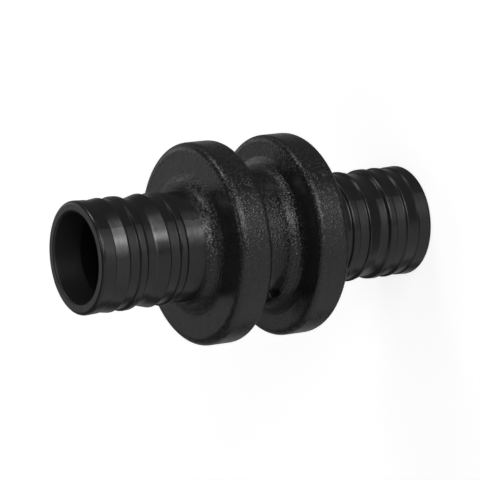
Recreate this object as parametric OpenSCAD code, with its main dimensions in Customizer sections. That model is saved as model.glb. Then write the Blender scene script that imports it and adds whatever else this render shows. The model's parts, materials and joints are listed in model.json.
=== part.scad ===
// Straight coupling for plastic water pipe held on by sliding sleeves.
// It is one moulding: a ribbed nipple at each end, two thick collars and the neck between them.
// It stands on one tip with its axis along +Z. The two mould halves meet in the XZ plane,
// and the gate was on the neck, square to that plane, on the -Y side.

/* [Waterway] */
// Diameter of the plain bore
bore_d = 12; // [9:0.1:12.8]
// How much wider each mouth is than the bore, measured on the radius
inlet_flare = 0.6; // [0.1:0.05:0.8]
// Depth of the tapered inlet behind each tip
inlet_depth = 4; // [1:0.1:8]
// Rounding of the inner edge of each mouth
mouth_round = 0.3; // [0.05:0.05:0.5]

/* [Nipples] */
// Diameter over the barbs and the sealing rings, which fill the opened pipe
nipple_d = 16.45; // [15:0.05:20]
// Length of a nipple from its tip to the collar's face
nipple_len = 18.5; // [11:0.1:30]
// Rounding of the tip's outer edge
nose_round = 0.5; // [0.2:0.05:0.8]
// How far the nose at the tip lies under the nipple's surface
nose_under = 0.03; // [0:0.01:0.08]
// Length of the nose, up to its step
nose_len = 2.1; // [1.6:0.05:2.6]
// Depth under the nipple's surface at the foot of that step, where the first ramp starts
nose_foot = 0.29; // [0.22:0.01:0.35]
// Rounding of the two corners of that step
nose_step_round = 0.08; // [0.04:0.01:0.1]
// Depth under the nipple's surface at which the smooth stub starts, behind the last ring
stub_drop = 0.38; // [0.25:0.01:0.45]
// How much the stub widens, on the radius, on its way to the rough root
stub_rise = 0.3; // [0:0.01:0.35]
// How far each mould half is set in towards the other one, which leaves a crease at the seam
seam_relief = 0.08; // [0.03:0.01:0.15]

/* [Ribs] */
// Distance from the tip to the edge of the first barb
first_barb = 4.25; // [3.4:0.05:5]
// Distance from one pair of ribs to the next, a pair being a barb and a sealing ring
rib_pitch = 6.5; // [5.4:0.05:9]
// Slope, in degrees, of the steps behind barbs and rings, which keep the pipe from slipping off
step_slope = 52; // [40:1:58]
// Depth of the land behind a barb, under the nipple's surface
land_depth = 0.31; // [0.2:0.01:0.4]
// Depth of the land where it meets the ring
land_end = 0.34; // [0.3:0.01:0.4]
// Length of that land
land_len = 1.45; // [0.8:0.05:1.8]
// Length over which the front of a ring rises
ring_front = 0.12; // [0.1:0.01:0.2]
// Width of a sealing ring
ring_w = 1.05; // [0.8:0.05:1.3]
// Rounding of a ring's edges
ring_round = 0.3; // [0.1:0.01:0.32]
// Slope, in degrees, at which the nose and the rings fall towards the collar
back_slope = 2.5; // [0:0.1:3]
// Depth of the valley between two pairs of ribs
valley_depth = 0.53; // [0.4:0.01:0.6]
// Length of the floor of that valley
valley_len = 1.25; // [0.5:0.05:1.4]
// Hollow rounding at the foot of a ramp
ramp_round = 2; // [0.5:0.1:2.5]
// Rounding of the edge of a barb
barb_round = 0.2; // [0.1:0.01:0.25]
// Rounding of the hollow corners of the ribs
foot_round = 0.15; // [0.04:0.01:0.16]

/* [Collars] */
// Diameter of the two collars
collar_d = 29.3; // [24:0.1:40]
// Thickness of each collar
collar_w = 5.2; // [3:0.1:8]
// Rounding of a collar's rim on the nipple side
rim_outer_round = 1.15; // [0.3:0.05:1.4]
// Rounding of a collar's rim on the neck side
rim_inner_round = 0.9; // [0.3:0.05:1.4]
// Radius of the hollow fillet between a nipple and its collar
root_fillet = 2; // [0.5:0.1:2.5]
// Length of the rough root from the collar's face, with the fillet in it
root_len = 2.05; // [1:0.05:4]
// How far the rough root stands proud of the smooth stub
root_proud = 0.05; // [0.03:0.01:0.15]

/* [Neck] */
// Diameter of the neck between the collars
neck_d = 19.2; // [17:0.1:21]
// Width of the groove between the collars, which the jaws of the press tool fill
groove_w = 7.8; // [6:0.1:12]
// Radius of the hollow fillet between the neck and each collar
neck_fillet = 2; // [0.5:0.1:2.5]

/* [Gate] */
// Width of the sunk pad round the gate, along the axis
gate_pad_w = 3.6; // [2:0.1:4]
// Length of that pad round the neck
gate_pad_len = 7.8; // [4:0.1:9]
// Depth of the pad under the neck's surface
gate_pad_depth = 0.2; // [0.1:0.05:0.4]
// Diameter of the round pit left where the gate was cut off
gate_pit_d = 3; // [1:0.1:3.2]
// Depth of the pit under the pad
gate_pit_depth = 0.5; // [0.2:0.05:0.8]
// How far the pit sits below the middle of the neck
gate_pit_drop = 0.9; // [0:0.1:1]

/* [Hidden] */
$fn = 96;

bore_r = bore_d / 2;
mouth_r = bore_r + inlet_flare;
nipple_r = nipple_d / 2;
stub_end_r = nipple_r - stub_drop + stub_rise;
root_r = stub_end_r + root_proud;
collar_r = collar_d / 2;
neck_r = neck_d / 2;

half_groove = groove_w / 2;
face_z = half_groove + collar_w;
half_len = face_z + nipple_len;
root_z = face_z + root_len;

// Largest turn, in degrees, between two neighbouring points of a rounding
arc_turn = 15;
// How far a cutter runs past the surface that it opens
past = 1;

// Roundings give way where a thin wall or a low collar leaves them less room
tip_wall = nipple_r - nose_under - mouth_r;
nose_round_fit = min(nose_round, tip_wall - mouth_round - 0.1);
root_fillet_fit = min(root_fillet, root_len - 0.05, collar_r - root_r - rim_outer_round - 0.1);
neck_fillet_fit = min(neck_fillet, half_groove - 0.1, collar_r - neck_r - rim_inner_round - 0.1);

// Depths under the nipple's surface at the back edges of the nose and of a ring
nose_end = nose_under + nose_len * tan(back_slope);
ring_end = ring_w * tan(back_slope);

// Distance along the axis over which a step falls by the given depth
function step_run(depth) = depth / tan(step_slope);

// Length of one pair of ribs, from the barb's edge to the foot of the ring's back
pair_len = step_run(land_depth) + land_len + ring_front + ring_w + step_run(valley_depth - ring_end);
// As many pairs as the nipple has room for in front of the rough root
pair_count = 1 + floor((nipple_len - root_len - first_barb - pair_len) / rib_pitch);

function flat(p) = [p.x, p.y];
function unit(v) = v / norm(v);

// Points that round the corner b of an outline, between its neighbours a and c.
// A corner is [x, y, radius], and a radius of 0 keeps it sharp.
function corner(a, b, c) =
    b.z == 0 ? [flat(b)] :
    let (
        to_a = unit(flat(a) - flat(b)),
        to_c = unit(flat(c) - flat(b)),
        half_angle = acos(to_a * to_c) / 2,
        centre = flat(b) + unit(to_a + to_c) * b.z / sin(half_angle),
        start = flat(b) + to_a * b.z / tan(half_angle) - centre,
        end = flat(b) + to_c * b.z / tan(half_angle) - centre,
        first = atan2(start.y, start.x),
        turn = atan2(cross(start, end), start * end),
        steps = max(3, ceil(abs(turn) / arc_turn))
    )
    [for (i = [0 : steps]) centre + b.z * [cos(first + turn * i / steps), sin(first + turn * i / steps)]];

// A closed outline with each of its corners rounded by its own radius
function rounded(corners) =
    let (n = len(corners))
    [for (i = [0 : n - 1]) each corner(corners[(i + n - 1) % n], corners[i], corners[(i + 1) % n])];

// A corner on the nipple, given by its distance from the tip and its depth under the surface
function on_nipple(from_tip, under, radius) = [nipple_r - under, half_len - from_tip, radius];

// One pair of ribs: the edge of a barb, the step and the land behind it, and a sealing ring
function rib_pair(at, back_depth) =
    let (
        land_from = at + step_run(land_depth),
        land_to = land_from + land_len,
        ring_from = land_to + ring_front,
        ring_to = ring_from + ring_w
    )
    [
        on_nipple(at, 0, barb_round),
        on_nipple(land_from, land_depth, foot_round),
        on_nipple(land_to, land_end, foot_round),
        on_nipple(ring_from, 0, ring_round),
        on_nipple(ring_to, ring_end, ring_round),
        on_nipple(ring_to + step_run(back_depth - ring_end), back_depth, foot_round)
    ];

// The far end of the valley's floor, where the next barb's ramp starts
function ramp_foot(at) = on_nipple(at + pair_len + valley_len, valley_depth, ramp_round);

// Half section of a nipple, from the end of the rough root to the tip
function nipple_outline() = rounded(concat(
    [[0, half_len, 0]],
    [on_nipple(0, nose_under, nose_round_fit)],
    [on_nipple(nose_len, nose_end, nose_step_round)],
    [on_nipple(nose_len + step_run(nose_foot - nose_end), nose_foot, nose_step_round)],
    [for (i = [0 : pair_count - 1]) let (
        at = first_barb + i * rib_pitch,
        last = i == pair_count - 1
    ) each concat(
        rib_pair(at, last ? stub_drop : valley_depth),
        last ? [] : [ramp_foot(at)]
    )],
    [[stub_end_r, root_z, 0]],
    [[0, root_z, 0]]
));

// Half section of one collar with the hollow fillets at its neck and at its nipple
function collar_corners() = [
    [neck_r, half_groove, neck_fillet_fit],
    [collar_r, half_groove, rim_inner_round],
    [collar_r, face_z, rim_outer_round],
    [root_r, face_z, root_fillet_fit],
    [root_r, root_z, 0],
    [0, root_z, 0]
];

// The same corners below the middle, listed from the bottom up
function mirrored(corners) = [for (i = [len(corners) - 1 : -1 : 0]) [corners[i].x, -corners[i].y, corners[i].z]];

// The half of a nipple that one mould half forms, on the +Y side of the seam
module nipple_half() {
    reach = nipple_d;
    intersection() {
        translate([0, -seam_relief, 0])
            rotate_extrude()
                polygon(nipple_outline());
        translate([-reach / 2, 0, root_z])
            cube([reach, reach / 2, half_len - root_z]);
    }
}

module nipple() {
    nipple_half();
    mirror([0, 1, 0])
        nipple_half();
}

// Both collars, the neck and the rough roots, turned as one shape
module collars_and_neck() {
    rotate_extrude()
        polygon(rounded(concat(mirrored(collar_corners()), collar_corners())));
}

// Plain bore with a tapered inlet and a softened edge at each end
module waterway() {
    cylinder(h = 2 * half_len + 2 * past, r = bore_r, center = true);
    for (side = [0, 1])
        mirror([0, 0, side])
            rotate_extrude()
                polygon(rounded([
                    [0, half_len - inlet_depth, 0],
                    [bore_r, half_len - inlet_depth, 0],
                    [mouth_r, half_len, mouth_round],
                    [mouth_r + past, half_len, 0],
                    [mouth_r + past, half_len + past, 0],
                    [0, half_len + past, 0]
                ]));
}

// Sunk pad on the neck, of the neck's own curve, with the pit of the cut gate in it
module gate_mark() {
    pad_r = neck_r - gate_pad_depth;
    difference() {
        translate([-gate_pad_len / 2, -neck_r - past, -gate_pad_w / 2])
            cube([gate_pad_len, neck_r + past, gate_pad_w]);
        cylinder(h = groove_w, r = pad_r, center = true);
    }
    translate([0, gate_pit_depth - pad_r, -gate_pit_drop])
        rotate([90, 0, 0])
            cylinder(h = gate_pit_depth + 2 * past, d = gate_pit_d);
}

module coupling_body() {
    color([0.16, 0.16, 0.17])
        translate([0, 0, half_len])
            difference() {
                union() {
                    collars_and_neck();
                    nipple();
                    mirror([0, 0, 1])
                        nipple();
                }
                waterway();
                gate_mark();
            }
}

coupling_body();
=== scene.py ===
# %% [markdown]
# # A straight coupling for plastic water pipe
#
# The real part is one injection moulding in black engineering plastic, about 55 mm long.
# Its two ribbed nipples are satin, and its two collars and the neck between them have a coarse
# grain that was spark-eroded into the mould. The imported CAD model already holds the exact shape,
# so most of this lesson is about finish and light: a black part shows its form only by what it reflects.
#
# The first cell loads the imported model. It becomes the fixed frame that everything else is fitted to.

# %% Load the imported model
import json
import math

import bpy
from mathutils import Matrix, Vector

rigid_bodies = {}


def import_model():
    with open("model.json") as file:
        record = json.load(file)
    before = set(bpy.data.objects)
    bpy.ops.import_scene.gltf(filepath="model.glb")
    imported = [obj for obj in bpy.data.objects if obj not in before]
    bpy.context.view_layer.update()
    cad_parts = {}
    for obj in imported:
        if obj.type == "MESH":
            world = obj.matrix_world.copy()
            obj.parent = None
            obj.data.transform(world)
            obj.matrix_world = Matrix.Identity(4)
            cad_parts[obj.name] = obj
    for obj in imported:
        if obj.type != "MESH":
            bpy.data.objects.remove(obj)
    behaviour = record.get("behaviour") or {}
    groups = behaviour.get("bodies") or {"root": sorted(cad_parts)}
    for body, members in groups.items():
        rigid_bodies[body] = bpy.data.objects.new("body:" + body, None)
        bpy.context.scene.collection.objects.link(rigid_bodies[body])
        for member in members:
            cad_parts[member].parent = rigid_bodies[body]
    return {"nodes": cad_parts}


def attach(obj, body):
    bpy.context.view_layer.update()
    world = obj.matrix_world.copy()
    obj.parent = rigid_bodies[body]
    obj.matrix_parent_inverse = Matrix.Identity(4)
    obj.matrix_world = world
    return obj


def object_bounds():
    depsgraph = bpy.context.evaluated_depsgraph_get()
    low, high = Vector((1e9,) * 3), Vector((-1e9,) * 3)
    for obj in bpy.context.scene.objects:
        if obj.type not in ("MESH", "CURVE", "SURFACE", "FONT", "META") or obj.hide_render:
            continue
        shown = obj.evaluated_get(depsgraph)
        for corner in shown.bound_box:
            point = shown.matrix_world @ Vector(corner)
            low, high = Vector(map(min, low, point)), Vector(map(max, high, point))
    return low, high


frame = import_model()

MM = 0.001
body = frame["nodes"]["coupling_body"]
cad_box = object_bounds()
print("CAD box", [[round(v / MM, 2) for v in corner] for corner in cad_box])

# %% [markdown]
# ## Where the zones of the part lie
#
# The finish changes along the axis, so a few heights are needed again and again. The part stands
# on its lower tip, its axis is +Z, and it is the same above and below its middle. So each height is
# given as a distance from that middle: the nipples are smooth from the tip down to the root, a
# short rough foot that belongs to the collar.

# %% Heights of the zones
middle_z = (cad_box[0][2] + cad_box[1][2]) / 2
half_len = (cad_box[1][2] - cad_box[0][2]) / 2
nipple_len = 18.5 * MM
root_len = 2.05 * MM
root_h = half_len - nipple_len + root_len
print("middle at", round(middle_z / MM, 2), "mm, rough root ends", round(root_h / MM, 2), "mm from it")

# %% [markdown]
# ## The camera
#
# The photograph was taken with a long lens, from about 31 degrees above the level of the collars and
# a little to the left of the mould seam. The part lay on its side in it. Here the part stands up, so
# the camera is rolled instead.
#
# A camera can be placed by its angles, but then each change of the roll moves the part in the picture.
# Here three directions are worked out first: to the right of the picture, up in it, and from the part
# to the lens. The camera's place and its small offsets are then steps along them.

# %% Directions of the view
view_azimuth = math.radians(64)
view_height = math.radians(30.9)
view_roll = math.radians(96.83)

to_lens = Vector((
    math.sin(view_azimuth) * math.cos(view_height),
    -math.cos(view_azimuth) * math.cos(view_height),
    math.sin(view_height),
))
level_right = Vector((math.cos(view_azimuth), math.sin(view_azimuth), 0))
level_up = to_lens.cross(level_right)
view_up = level_up * math.cos(view_roll) + level_right * math.sin(view_roll)
view_right = level_right * math.cos(view_roll) - level_up * math.sin(view_roll)
print("direction to the lens", [round(v, 3) for v in to_lens])

# %% Camera
lens_distance = 429.1 * MM
moved_left = 0.497 * MM
moved_down = 0.231 * MM

bpy.ops.object.select_all(action="DESELECT")
bpy.ops.object.camera_add()
camera = bpy.context.object
camera.name = "camera"
camera.data.sensor_width = 36
camera.data.lens = 222.6
camera.data.clip_end = 10
turn = Matrix((view_right, view_up, to_lens)).transposed().to_4x4()
turn.translation = (
    Vector((0, 0, middle_z)) + to_lens * lens_distance - view_right * moved_left - view_up * moved_down
)
camera.matrix_world = turn
bpy.context.scene.camera = camera
print("camera at", [round(v, 4) for v in turn.translation], "lens", round(camera.data.lens, 1))

# %% [markdown]
# ## The floor
#
# A white sheet lies under the part. Lamps strong enough to turn the sheet white would wash out every
# reflection on black plastic. So the sheet's white is made in two shares. One share is an even glow
# that only the lens sees, through Is Camera Ray. The other is plain diffuse paper, which
# carries the soft shadow of the part.
#
# The sheet is hidden from glossy, diffuse and shadow rays. The photographed part lay on its side, with
# its main lamp above it. Here the part stands up, so the same lamp ends up low and partly under the
# sheet, as on a light table, and its light has to pass.

# %% A new material
def new_material(name):
    """An empty node material and its node tree."""
    material = bpy.data.materials.new(name)
    material.use_nodes = True
    material.node_tree.nodes.clear()
    return material, material.node_tree


print("helper for new materials ready")

# %% Floor
bpy.ops.object.select_all(action="DESELECT")
bpy.ops.mesh.primitive_plane_add(size=6, location=(0, 0, 0))
floor = bpy.context.object
floor.name = "floor"
floor.visible_shadow = False
floor.visible_glossy = False
floor.visible_diffuse = False
print("floor measures", [round(v, 1) for v in floor.dimensions], "m")

# %% White paper
paper, tree = new_material("white_paper")
out = tree.nodes.new("ShaderNodeOutputMaterial")
path = tree.nodes.new("ShaderNodeLightPath")
matt = tree.nodes.new("ShaderNodeBsdfDiffuse")
matt.inputs["Color"].default_value = (0.65, 0.65, 0.65, 1)
glow = tree.nodes.new("ShaderNodeEmission")
glow.inputs["Color"].default_value = (0.79, 0.79, 0.79, 1)
both = tree.nodes.new("ShaderNodeAddShader")
tree.links.new(path.outputs["Is Camera Ray"], glow.inputs["Strength"])
tree.links.new(matt.outputs[0], both.inputs[0])
tree.links.new(glow.outputs[0], both.inputs[1])
tree.links.new(both.outputs[0], out.inputs["Surface"])
floor.data.materials.append(paper)
print("white_paper has", len(tree.nodes), "nodes")

# %% [markdown]
# ## Building with nodes
#
# The sky and the plastic are both made from nodes, and most of those do plain arithmetic. Nodes can
# be added and linked one by one, as above, but a long sum is then hard to read. A few short helpers
# add such a node to a tree, connect what they are given, and hand back its output. What is
# given may be a plain value or the output of another node.

# %% Arithmetic with nodes
def feed(tree, value, slot):
    """Link an output to an input, or set the input to a plain value."""
    if isinstance(value, bpy.types.NodeSocket):
        tree.links.new(value, slot)
    else:
        slot.default_value = value


def math_node(tree, operation, *values):
    """The result of a Math node."""
    node = tree.nodes.new("ShaderNodeMath")
    node.operation = operation
    for slot, value in zip(node.inputs, values):
        feed(tree, value, slot)
    return node.outputs[0]


print("arithmetic ready")

# %% Smooth masks
def smooth_step(tree, value, low, high, at_low=0.0, at_high=1.0):
    """A mask that goes smoothly from one level to another between two values."""
    node = tree.nodes.new("ShaderNodeMapRange")
    node.interpolation_type = "SMOOTHSTEP"
    settings = {"Value": value, "From Min": low, "From Max": high, "To Min": at_low, "To Max": at_high}
    for label, setting in settings.items():
        feed(tree, setting, node.inputs[label])
    return node.outputs["Result"]


print("smooth masks ready")

# %% Blends and noise
def blend(tree, mask, first, second, kind="FLOAT"):
    """A value, or with kind RGBA a colour, between two others: the second where the mask is 1."""
    node = tree.nodes.new("ShaderNodeMix")
    node.data_type = kind
    for label, value in (("Factor", mask), ("A", first), ("B", second)):
        feed(tree, value, node.inputs[label])
    return node.outputs["Result"]


def noise(tree, place, scale, detail=2.0):
    """Noise at one scale, in features per metre."""
    node = tree.nodes.new("ShaderNodeTexNoise")
    for label, value in (("Vector", place), ("Scale", scale), ("Detail", detail)):
        feed(tree, value, node.inputs[label])
    return node.outputs[0]


print("blends and noise ready")

# %% [markdown]
# ## Light from soft windows
#
# A black part has almost no colour of its own, so what it reflects draws its shape. In the
# photograph one large softbox makes the bright patches on the ribs, and weaker ones tell the
# faces and rims apart. A softbox with faded edges could be an area lamp with a gradient on it. It
# is simpler to paint it into the sky as a window of directions, because for a part this small such
# lamps are far away.
#
# Each direction is read as two angles. The azimuth goes round the part: 0 is the side of the lens, 90
# the side of the picture's top, 180 the back and -90 the side of the picture's bottom. The other is the
# height over the floor. The part lay on its side when it was photographed, so lamps that were
# beside it then are below the horizon now.

# %% Directions in the sky
world = bpy.data.worlds.new("studio")
bpy.context.scene.world = world
world.use_nodes = True
sky_tree = world.node_tree
ahead = Vector((to_lens.x, to_lens.y, 0)).normalized()
aside = Vector((0, 0, 1)).cross(ahead)
sight = sky_tree.nodes.new("ShaderNodeTexCoord").outputs["Generated"]


def share(way):
    """How far a direction of the sky points along a given one."""
    node = sky_tree.nodes.new("ShaderNodeVectorMath")
    node.operation = "DOT_PRODUCT"
    node.inputs[1].default_value = way
    sky_tree.links.new(sight, node.inputs[0])
    return node.outputs["Value"]


round_angle = math_node(sky_tree, "ARCTAN2", share(aside), share(ahead))
sky_azimuth = math_node(sky_tree, "DEGREES", round_angle)
sky_height = math_node(sky_tree, "DEGREES", math_node(sky_tree, "ARCSINE", share((0, 0, 1))))
print("the lens is at azimuth 0, height", round(math.degrees(view_height), 1))

# %% One soft window
def soft_window(azimuths, heights, fades, strength):
    """Light from a window of directions, all in degrees, with edges that fade out."""
    half = (azimuths[1] - azimuths[0]) / 2
    turned = math_node(sky_tree, "SUBTRACT", sky_azimuth, azimuths[0] + half)
    wrapped = math_node(sky_tree, "WRAP", turned, 180.0, -180.0)
    off_axis = math_node(sky_tree, "ABSOLUTE", wrapped)
    side_fade, end_fade = fades[0] / 2, fades[1] / 2
    sides = smooth_step(sky_tree, off_axis, half - side_fade, half + side_fade, strength, 0.0)
    low, high = heights
    bottom = smooth_step(sky_tree, sky_height, low - end_fade, low + end_fade)
    top = smooth_step(sky_tree, sky_height, high - end_fade, high + end_fade, 1.0, 0.0)
    return math_node(sky_tree, "MULTIPLY", sides, math_node(sky_tree, "MULTIPLY", bottom, top))


print("windows are given as azimuths, heights, fades and strength")

# %% [markdown]
# ## Where the windows are
#
# An upright wall mirrors the lens downwards, to a height of about -31 degrees, and a ramp that rises
# away from the tip mirrors it less far down. So the main softbox lies just under the horizon, where the
# ramps see it, and its lower edge is a weaker strip that the straight walls see. The flat faces
# mirror the lens to the back, at a height of 31 degrees, and there the light has to be weak, because
# those faces are dark grey in the picture. Each window was placed by that rule and then adjusted
# until the picture's grey levels agreed.

# %% Windows on the side of the lens
front_windows = {
    "main softbox": soft_window((3, 59), (-14, -3.5), (40, 4), 4.0),
    "its bright core": soft_window((18, 29), (-15, 5), (18, 6), 5.7),
    "its lower strip": soft_window((-8, 42), (-38, -31), (40, 6), 1.35),
    "softbox over the lens": soft_window((3, 42), (14, 32), (12, 8), 3.8),
    "dim band in front": soft_window((-69, 86), (-13, -7), (20, 4), 0.28),
}
print(len(front_windows), "windows in front")

# %% Windows at the sides and the back
far_windows = {
    "wall at the picture's bottom": soft_window((-108, -12), (-54, 62), (8, 8), 0.3),
    "lamp at the picture's top": soft_window((83, 100), (27, 40), (24, 6), 7.5),
    "lamp overhead": soft_window((87, 112), (74, 84), (20, 10), 6.5),
    "back wall": soft_window((150, 172), (10, 36), (14, 16), 0.65),
    "far end of the back wall": soft_window((160, 186), (16, 32), (16, 8), 0.38),
    "foot of the back wall": soft_window((150, 226), (-90, 1), (20, 10), 0.16),
    "dim corner at the top": soft_window((100, 153), (5, 17), (16, 8), 0.26),
}
print(len(far_windows), "windows at the sides and the back")

# %% [markdown]
# ## The sum of the sky
#
# All windows are added to a weak even light, so no side of the part is pure black. The lens itself
# sees a white sky, through Is Camera Ray. The plastic's reflections don't get that white: it is all
# black and glossy, with no metal or glass, and an all-white sky would turn it grey.

# %% Light of the sky, and white for the lens
even_light = 0.09
light = even_light
for window in list(front_windows.values()) + list(far_windows.values()):
    light = math_node(sky_tree, "ADD", window, light)

sky = sky_tree.nodes["Background"]
sky.inputs["Color"].default_value = (1, 1, 1, 1)
seen = sky_tree.nodes.new("ShaderNodeLightPath").outputs["Is Camera Ray"]
sky_tree.links.new(blend(sky_tree, seen, light, 1.0), sky.inputs["Strength"])
bpy.context.scene.view_settings.view_transform = "Standard"
print("sky has", len(sky_tree.nodes), "nodes")

# %% [markdown]
# ## Satin skin
#
# The nipples took their skin from polished steel. It isn't perfectly even: the plastic sinks by a
# few thousandths of a millimetre as it cools, and the mould was turned on a lathe, which left
# faint rings round the axis. Both are heights here, in micrometres, so the bump can use
# real sizes. They could be modelled as shape, but they are far too shallow for that.
#
# The moulding and the flash on its seam both have this skin, so it is a node group.

# %% Node group for satin plastic
def new_group(name, outputs):
    """A node group that takes a position, with its tree, its position and its result node."""
    group = bpy.data.node_groups.new(name, "ShaderNodeTree")
    group.interface.new_socket("Position", in_out="INPUT", socket_type="NodeSocketVector")
    for label in outputs:
        group.interface.new_socket(label, in_out="OUTPUT", socket_type="NodeSocketFloat")
    position = group.nodes.new("NodeGroupInput").outputs["Position"]
    return group, position, group.nodes.new("NodeGroupOutput")


satin, position, result = new_group("satin_skin", ["Height", "Roughness"])
print("satin_skin gives", [socket.name for socket in result.inputs if socket.name])

# %% Sink marks and turned rings
sink_microns = 20.0
ring_microns = 2.0

along = satin.nodes.new("ShaderNodeSeparateXYZ")
satin.links.new(position, along.inputs[0])
rings = satin.nodes.new("ShaderNodeTexNoise")
rings.noise_dimensions = "1D"
rings.inputs["Scale"].default_value = 2600
rings.inputs["Detail"].default_value = 1
satin.links.new(along.outputs["Z"], rings.inputs["W"])

sunk = math_node(satin, "MULTIPLY", noise(satin, position, 650), sink_microns)
total = math_node(satin, "MULTIPLY_ADD", rings.outputs[0], ring_microns, sunk)
satin.links.new(total, result.inputs["Height"])

cloud = noise(satin, position, 380, 3)
satin.links.new(smooth_step(satin, cloud, 0.3, 0.7, 0.19, 0.25), result.inputs["Roughness"])
print("satin_skin has", len(satin.nodes), "nodes")

# %% [markdown]
# ## Spark-eroded grain
#
# A spark-eroded mould is covered with tiny round craters, 0.2 to 0.3 mm wide, and the plastic
# shows them in reverse as small rounded bumps. Most are shallow and only soften the gloss. A few are
# steep, and under a lamp each of those sends back one point of light, which gives the sparkle on
# the collars and the neck.
#
# Plain noise gives soft waves without separate bumps, so Voronoi cells are used. Each cell is
# one bump, flat at its border, and its random colour decides how high it stands.

# %% Node group for the grain
bumps_per_metre = 3700
low_bump_microns = 20.0
high_bump_microns = 85.0

grain, position, result = new_group("spark_grain", ["Height", "Tops"])
craters = grain.nodes.new("ShaderNodeTexVoronoi")
craters.inputs["Scale"].default_value = bumps_per_metre
grain.links.new(position, craters.inputs["Vector"])
dome = smooth_step(grain, craters.outputs["Distance"], 0.2, 0.75, 1.0, 0.0)
chance = grain.nodes.new("ShaderNodeSeparateColor")
grain.links.new(craters.outputs["Color"], chance.inputs[0])
steep = smooth_step(grain, chance.outputs["Red"], 0.2, 1.0, low_bump_microns, high_bump_microns)
domes = math_node(grain, "MULTIPLY", dome, steep)
fine = noise(grain, position, 6500, 1)
grain.links.new(math_node(grain, "MULTIPLY_ADD", fine, 9.0, domes), result.inputs["Height"])
# The tops of the bumps, where the moulding's colour is painted paler as a sheen
grain.links.new(smooth_step(grain, domes, 5.0, 45.0), result.inputs["Tops"])
print("bumps are about", round(1 / bumps_per_metre / MM, 2), "mm wide")

# %% [markdown]
# ## The black plastic
#
# The plastic is black all through, with a clear gloss on top, so most of what the eye sees is what
# the gloss reflects. A Principled BSDF does both, with the plastic's own index of refraction, 1.6.
#
# The moulding and its flash are the same plastic, so one helper starts both materials: shader,
# object coordinates and satin skin. Another turns heights in micrometres into bumps.

# %% Start of a plastic
def new_plastic(name):
    """A plastic with the satin skin: its material, its shader, the position on it and the skin."""
    material, tree = new_material(name)
    out = tree.nodes.new("ShaderNodeOutputMaterial")
    surface = tree.nodes.new("ShaderNodeBsdfPrincipled")
    surface.inputs["IOR"].default_value = 1.6
    tree.links.new(surface.outputs[0], out.inputs["Surface"])
    place = tree.nodes.new("ShaderNodeTexCoord").outputs["Object"]
    skin = tree.nodes.new("ShaderNodeGroup")
    skin.node_tree = satin
    tree.links.new(place, skin.inputs["Position"])
    return material, surface, place, skin


plastic, surface, place, skin = new_plastic("black_plastic")
tree = plastic.node_tree
print("black_plastic starts with", len(tree.nodes), "nodes")

# %% Bumps from heights
def raise_bumps(tree, height, surface):
    """Bumps on a surface from a height in micrometres."""
    bump = tree.nodes.new("ShaderNodeBump")
    bump.inputs["Strength"].default_value = 1.0
    bump.inputs["Distance"].default_value = 0.001 * MM
    tree.links.new(height, bump.inputs["Height"])
    tree.links.new(bump.outputs["Normal"], surface.inputs["Normal"])


print("bumps are given in micrometres")

# %% [markdown]
# ## Masks for the plastic
#
# One material covers the whole moulding, and masks tell its zones apart. The zones could also be
# painted or given materials of their own, but then their borders would have to follow the
# mesh. Here each mask is a smooth step of one measured distance: how far a point lies from
# the middle, or from the axis. They are measured in Object coordinates, so the finish is bound to
# the part and not to the view.

# %% Distances from the middle and from the axis
parts = tree.nodes.new("ShaderNodeSeparateXYZ")
tree.links.new(place, parts.inputs[0])
lift = math_node(tree, "SUBTRACT", parts.outputs["Z"], middle_z)
from_middle = math_node(tree, "ABSOLUTE", lift)

flat = tree.nodes.new("ShaderNodeVectorMath")
flat.operation = "MULTIPLY"
flat.inputs[1].default_value = (1, 1, 0)
tree.links.new(place, flat.inputs[0])
reach = tree.nodes.new("ShaderNodeVectorMath")
reach.operation = "LENGTH"
tree.links.new(flat.outputs[0], reach.inputs[0])
radius = reach.outputs["Value"]
print("distances need", len(tree.nodes), "nodes so far")

# %% Where the grain is
in_collars = smooth_step(tree, from_middle, root_h - 0.06 * MM, root_h + 0.02 * MM, 1.0, 0.0)

# This step lies inside the wall, between the bore and the outer skin
outside = smooth_step(tree, radius, 6.9 * MM, 7.3 * MM)
grained = math_node(tree, "MULTIPLY", in_collars, outside)
print("grain up to", round(root_h / MM, 2), "mm from the middle, outside the bore")

# %% [markdown]
# ## How deep the grain is
#
# The grain isn't equally deep everywhere. In the picture the hollow fillets beside the root and the
# neck sparkle most, the rims less, and the flat faces are almost smooth. A small pad on the neck,
# round the gate where the plastic entered the mould, has hardly any grain.

# %% Depth of the grain in the fillets, on the rims and on the faces
hollow_depth = 0.8
rim_depth = 0.42
face_depth = 0.2

# The fillets end, and the rims begin, at these distances from the axis
past_fillet = smooth_step(tree, radius, 9.9 * MM, 10.8 * MM)
before_rim = smooth_step(tree, radius, 12.8 * MM, 13.6 * MM, 1.0, 0.0)
on_face = math_node(tree, "MULTIPLY", past_fillet, before_rim)
off_face_depth = blend(tree, past_fillet, hollow_depth, rim_depth)
depth_here = blend(tree, on_face, off_face_depth, face_depth)
amount = math_node(tree, "MULTIPLY", grained, depth_here)
print("share of the full grain: hollows", hollow_depth, "rims", rim_depth, "faces", face_depth)

# %% The smooth pad round the gate
pad_depth = 0.12
pad_half_width = 3.9 * MM
pad_half_height = 1.8 * MM
edge = 0.05 * MM

sideways = math_node(tree, "ABSOLUTE", parts.outputs["X"])
across_pad = smooth_step(tree, sideways, pad_half_width - edge, pad_half_width + edge, 1.0, 0.0)
along_pad = smooth_step(tree, from_middle, pad_half_height - edge, pad_half_height + edge, 1.0, 0.0)
pad_outline = math_node(tree, "MULTIPLY", across_pad, along_pad)

# The pad is on the -Y side of the neck
in_front = smooth_step(tree, parts.outputs["Y"], -8.4 * MM, -8.2 * MM, 1.0, 0.0)
on_pad = math_node(tree, "MULTIPLY", pad_outline, in_front)
amount = math_node(tree, "MULTIPLY", amount, blend(tree, on_pad, 1.0, pad_depth))
print("grain on the pad", pad_depth)
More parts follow.
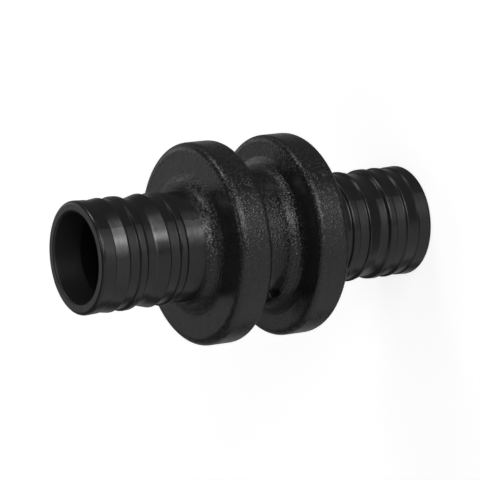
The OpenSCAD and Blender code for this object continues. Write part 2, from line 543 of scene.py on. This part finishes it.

# %% [markdown]
# ## Bumps, gloss and colour
#
# The grain lies on top of the satin skin, so their heights are added. Where the grain is, each bump
# is glossier than the satin, or it couldn't sparkle. The tapered inlet inside the mouth was left
# matt by the core pin, and the bore behind it is smooth.
#
# The colour hardly varies. It is a soft black with slow clouds in it, the tops of the bumps are a
# little paler, as a painted sheen that stands for their sparkle, and the inlet is plain.

# %% Bumps of the moulding
sparks = tree.nodes.new("ShaderNodeGroup")
sparks.node_tree = grain
tree.links.new(place, sparks.inputs["Position"])
grain_height = sparks.outputs["Height"]
raise_bumps(tree, math_node(tree, "MULTIPLY_ADD", grain_height, amount, skin.outputs["Height"]), surface)
print("bumps added")

# %% Gloss of the moulding
inlet_end = half_len - 4.05 * MM
inlet_rough = 0.42

near_tip = smooth_step(tree, from_middle, inlet_end - 0.1 * MM, inlet_end + 0.1 * MM)

# This step lies on the flat lip, just outside the rounded edge of the mouth
inside = smooth_step(tree, radius, 6.85 * MM, 6.95 * MM, 1.0, 0.0)
in_inlet = math_node(tree, "MULTIPLY", near_tip, inside)
grain_rough = blend(tree, past_fillet, 0.11, 0.19)
rough = blend(tree, grained, skin.outputs["Roughness"], grain_rough)
tree.links.new(blend(tree, in_inlet, rough, inlet_rough), surface.inputs["Roughness"])
print("roughness of the inlet", inlet_rough)

# %% Colour of the moulding
deep_black = (0.008, 0.008, 0.0085, 1)
soft_black = (0.012, 0.012, 0.0125, 1)
# Painted sheen: this paler black goes on the tops of the grain's bumps, where they sparkle
painted_sheen_black = (0.02, 0.02, 0.0205, 1)
inlet_black = (0.011, 0.011, 0.0115, 1)

tone = blend(tree, noise(tree, place, 500, 3), deep_black, soft_black, "RGBA")
# Painted sheen: the colour turns paler on the bump tops, standing for their sparkle
sheen_on_tops = math_node(tree, "MULTIPLY", grained, sparks.outputs["Tops"])
tone = blend(tree, sheen_on_tops, tone, painted_sheen_black, "RGBA")
tone = blend(tree, in_inlet, tone, inlet_black, "RGBA")
tree.links.new(tone, surface.inputs["Base Color"])
body.data.materials.clear()
body.data.materials.append(plastic)
print("black_plastic has", len(tree.nodes), "nodes")

# %% [markdown]
# ## Flash along the seam
#
# The two halves of the mould meet in the plane through the axis. Where they don't shut quite tightly,
# a little plastic creeps between them and leaves a fine raised line, the flash. On this coupling it
# shows best at the end of the smooth stub, beside the collar, where the picture has a thin bright line.
#
# A thin bar drawn by hand would float or sink where the stub tapers, so it isn't drawn. A copy of
# the moulding is cut by the mould's plane, which leaves only its outline. The four short stretches
# on the stubs are kept, turned into a curve, and given a round section 0.16 mm thick, half of
# which lies in the stub.

# %% Copy the moulding
bpy.ops.object.select_all(action="DESELECT")
body.select_set(True)
bpy.context.view_layer.objects.active = body
bpy.ops.object.duplicate()
flash = bpy.context.object
flash.name = "seam_flash"
for label in list(flash.keys()):
    del flash[label]
bpy.ops.object.parent_clear(type="CLEAR_KEEP_TRANSFORM")
flash.data.materials.clear()
print("copy has", len(flash.data.vertices), "points")

# %% Cut the outline out of the copy
same_point = 0.0001 * MM

bpy.ops.object.mode_set(mode="EDIT")
bpy.ops.mesh.select_all(action="SELECT")
bpy.ops.mesh.remove_doubles(threshold=same_point)
bpy.ops.mesh.select_all(action="SELECT")
bpy.ops.mesh.bisect(
    plane_co=(0, 0, 0),
    plane_no=(0, 1, 0),
    clear_inner=True,
    clear_outer=True,
    threshold=same_point,
)
bpy.ops.mesh.select_all(action="DESELECT")
bpy.ops.object.mode_set(mode="OBJECT")
print("outline has", len(flash.data.vertices), "points")

# %% Keep the stretches on the stubs
flash_len = 1.9 * MM
sunk_in_root = 0.05 * MM
past_bore = 7.5 * MM

for vertex in flash.data.vertices:
    height = abs(vertex.co.z - middle_z)
    on_stub = root_h - sunk_in_root < height < root_h + flash_len
    on_outside = abs(vertex.co.x) > past_bore
    vertex.select = not (on_stub and on_outside)
bpy.ops.object.mode_set(mode="EDIT")
bpy.ops.mesh.delete(type="VERT")
bpy.ops.object.mode_set(mode="OBJECT")
print("kept", len(flash.data.vertices), "points")

# %% Give the line its thickness
bpy.ops.object.convert(target="CURVE")
flash = bpy.context.object
flash.data.bevel_depth = 0.08 * MM
flash.data.bevel_resolution = 3
flash.data.use_fill_caps = True
print("flash has", len(flash.data.splines), "stretches")

bpy.ops.object.convert(target="MESH")
flash = bpy.context.object
bpy.ops.object.mode_set(mode="EDIT")
bpy.ops.mesh.select_all(action="SELECT")
bpy.ops.mesh.remove_doubles(threshold=same_point)
bpy.ops.mesh.normals_make_consistent(inside=False)
bpy.ops.object.mode_set(mode="OBJECT")
bpy.ops.object.shade_smooth_by_angle(angle=math.radians(40))
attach(flash, "root")
print("flash mesh has", len(flash.data.polygons), "faces")

# %% [markdown]
# ## Finish of the flash
#
# The flash froze in the bare gap between the mould halves, so it has the satin skin of the nipples and
# is a little glossier. It could share the moulding's material, but that one would put grain on the end
# that lies in the root. So it has a plastic of its own, which takes the same skin with a lower
# roughness.

# %% Plastic of the flash
extra_gloss = 0.06
dark_edge = (0.010, 0.010, 0.0105, 1)
pale_edge = (0.016, 0.016, 0.0165, 1)

flash_plastic, surface, place, skin = new_plastic("flash_plastic")
tree = flash_plastic.node_tree
raise_bumps(tree, skin.outputs["Height"], surface)
rough = math_node(tree, "SUBTRACT", skin.outputs["Roughness"], extra_gloss)
tree.links.new(rough, surface.inputs["Roughness"])
tone = blend(tree, noise(tree, place, 900, 2), dark_edge, pale_edge, "RGBA")
tree.links.new(tone, surface.inputs["Base Color"])
flash.data.materials.append(flash_plastic)
print("flash_plastic has", len(tree.nodes), "nodes")
